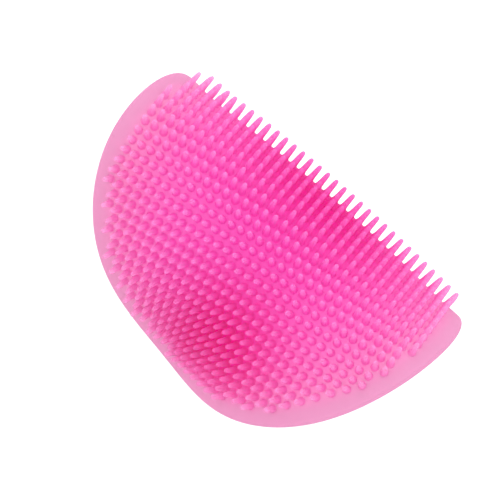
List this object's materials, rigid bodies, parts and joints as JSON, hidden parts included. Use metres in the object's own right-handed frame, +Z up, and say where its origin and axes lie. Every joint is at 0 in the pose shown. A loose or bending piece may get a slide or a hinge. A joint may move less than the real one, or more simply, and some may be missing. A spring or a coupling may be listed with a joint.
{
  "type": "facial cleansing brush",
  "caption": "Thin oval silicone cleansing pad with a dense field of soft tapered bristles on one face, folded over on itself with the bristles outside; it unfolds flat.",
  "frame": {"origin": "the back face of the front panel, where fingers grip the pad", "axes": "+X along the fold lines, +Z up through the ridge of the fold, -Y out of the front face"},
  "size_m": [0.0738, 0.0382, 0.0509],
  "materials": {
    "silicone": "satin, translucent"
  },
  "bodies": {
    "front_panel": {"web_01": "silicone", "border_front_end": "silicone"},
    "panel_02": {"web_02": "silicone", "border_left_02": "silicone", "border_right_02": "silicone"},
    "panel_03": {"web_03": "silicone", "border_left_03": "silicone", "border_right_03": "silicone"},
    "panel_04": {"web_04": "silicone", "border_left_04": "silicone", "border_right_04": "silicone"},
    "panel_05": {"web_05": "silicone", "border_left_05": "silicone", "border_right_05": "silicone"},
    "panel_06": {"web_06": "silicone", "border_left_06": "silicone", "border_right_06": "silicone"},
    "panel_07": {"web_07": "silicone", "border_left_07": "silicone", "border_right_07": "silicone"},
    "panel_08": {"web_08": "silicone", "border_left_08": "silicone", "border_right_08": "silicone"},
    "panel_09": {"web_09": "silicone", "border_left_09": "silicone", "border_right_09": "silicone"},
    "panel_10": {"web_10": "silicone", "border_left_10": "silicone", "border_right_10": "silicone"},
    "panel_11": {"web_11": "silicone", "border_left_11": "silicone", "border_right_11": "silicone"},
    "panel_12": {"web_12": "silicone", "border_left_12": "silicone", "border_right_12": "silicone"},
    "back_panel": {"web_13": "silicone", "border_back_end": "silicone"}
  },
  "joints": [
    {"name": "unfold", "type": "hinge", "parent": "front_panel", "child": "panel_02", "pos_m": [-0.00018, -0.00304, 0.00529], "axis": [0.9868, -0.0034, -0.1619], "range_deg": [-3, 18.42]},
    {"name": "unfold_03", "type": "hinge", "parent": "panel_02", "child": "panel_03", "pos_m": [-0.00029, -0.00543, 0.01671], "axis": [0.9964, -0.0203, -0.0829], "range_deg": [-3.01, 18.43]},
    {"name": "unfold_04", "type": "hinge", "parent": "panel_03", "child": "panel_04", "pos_m": [-0.0003, -0.00458, 0.0241], "axis": [0.9994, -0.0143, -0.0308], "range_deg": [-3.01, 18.43]},
    {"name": "unfold_05", "type": "hinge", "parent": "panel_04", "child": "panel_05", "pos_m": [-0.0003, -0.00208, 0.02946], "axis": [1, 0.0034, 0.0072], "range_deg": [-3.01, 18.43]},
    {"name": "unfold_06", "type": "hinge", "parent": "panel_05", "child": "panel_06", "pos_m": [-0.0003, 0.0014, 0.03314], "axis": [0.9991, 0.028, 0.0333], "range_deg": [-3.01, 18.43]},
    {"name": "unfold_07", "type": "hinge", "parent": "panel_06", "child": "panel_07", "pos_m": [-0.00028, 0.00537, 0.03527], "axis": [0.9973, 0.056, 0.0483], "range_deg": [-3.01, 18.43]},
    {"name": "unfold_08", "type": "hinge", "parent": "panel_07", "child": "panel_08", "pos_m": [-0.00023, 0.00941, 0.03596], "axis": [0.995, 0.0844, 0.0531], "range_deg": [-3.01, 18.43]},
    {"name": "unfold_09", "type": "hinge", "parent": "panel_08", "child": "panel_09", "pos_m": [-0.00012, 0.01336, 0.03538], "axis": [0.9925, 0.1119, 0.0488], "range_deg": [-3.01, 18.43]},
    {"name": "unfold_10", "type": "hinge", "parent": "panel_09", "child": "panel_10", "pos_m": [0.0001, 0.01693, 0.03358], "axis": [0.99, 0.1364, 0.036], "range_deg": [-3.01, 18.43]},
    {"name": "unfold_11", "type": "hinge", "parent": "panel_10", "child": "panel_11", "pos_m": [0.00046, 0.01975, 0.03078], "axis": [0.9877, 0.1554, 0.0163], "range_deg": [-3.01, 18.43]},
    {"name": "unfold_12", "type": "hinge", "parent": "panel_11", "child": "panel_12", "pos_m": [0.00099, 0.02156, 0.02725], "axis": [0.9859, 0.1671, -0.0083], "range_deg": [-3.01, 18.43]},
    {"name": "unfold_13", "type": "hinge", "parent": "panel_12", "child": "back_panel", "pos_m": [0.00171, 0.02219, 0.02337], "axis": [0.9848, 0.1704, -0.035], "range_deg": [-3.01, 18.43]}
  ],
  "couplings": [
    {"joint": "unfold_03", "follows": "unfold", "ratio": 1},
    {"joint": "unfold_04", "follows": "unfold", "ratio": 1},
    {"joint": "unfold_05", "follows": "unfold", "ratio": 1},
    {"joint": "unfold_06", "follows": "unfold", "ratio": 1},
    {"joint": "unfold_07", "follows": "unfold", "ratio": 1},
    {"joint": "unfold_08", "follows": "unfold", "ratio": 1},
    {"joint": "unfold_09", "follows": "unfold", "ratio": 1},
    {"joint": "unfold_10", "follows": "unfold", "ratio": 1},
    {"joint": "unfold_11", "follows": "unfold", "ratio": 1},
    {"joint": "unfold_12", "follows": "unfold", "ratio": 1},
    {"joint": "unfold_13", "follows": "unfold", "ratio": 1}
  ]
}
